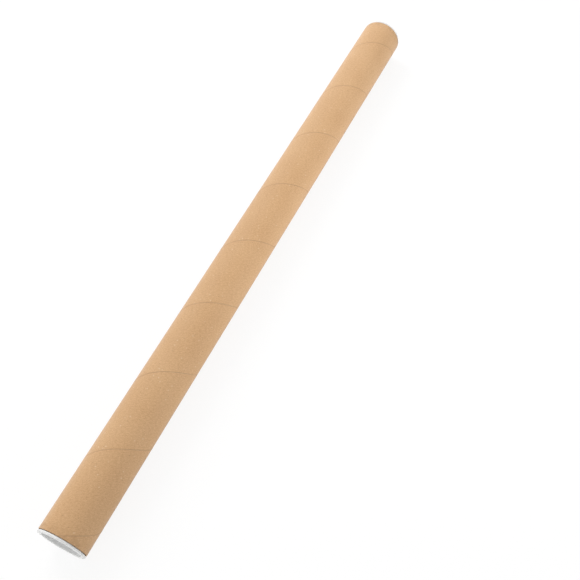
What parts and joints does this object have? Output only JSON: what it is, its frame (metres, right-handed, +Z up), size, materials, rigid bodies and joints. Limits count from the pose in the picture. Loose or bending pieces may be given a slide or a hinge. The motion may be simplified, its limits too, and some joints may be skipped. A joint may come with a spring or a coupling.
{
  "type": "kraft shipping tube",
  "caption": "Slim round kraft paperboard mailing tube with a spiral-wound outer ply, closed at both ends by white recessed push-in plugs.",
  "frame": {"origin": "on the floor, under the middle of the tube lying on its side", "axes": "+X along the tube from the near end to the far end, +Z up"},
  "size_m": [0.6142, 0.041, 0.041],
  "materials": {
    "kraft": "matte uncoated kraft board",
    "white_plastic": "satin white moulded polyethylene"
  },
  "bodies": {
    "tube": {"paperboard_tube": "kraft"},
    "near_plug": {"near_end_plug": "white_plastic"},
    "far_plug": {"far_end_plug": "white_plastic"}
  },
  "joints": [
    {"name": "near_plug_pull", "type": "slide", "parent": "tube", "child": "near_plug", "axis": [-1, 0, 0], "range_m": [0, 0.06]},
    {"name": "far_plug_pull", "type": "slide", "parent": "tube", "child": "far_plug", "axis": [1, 0, 0], "range_m": [0, 0.06]}
  ]
}
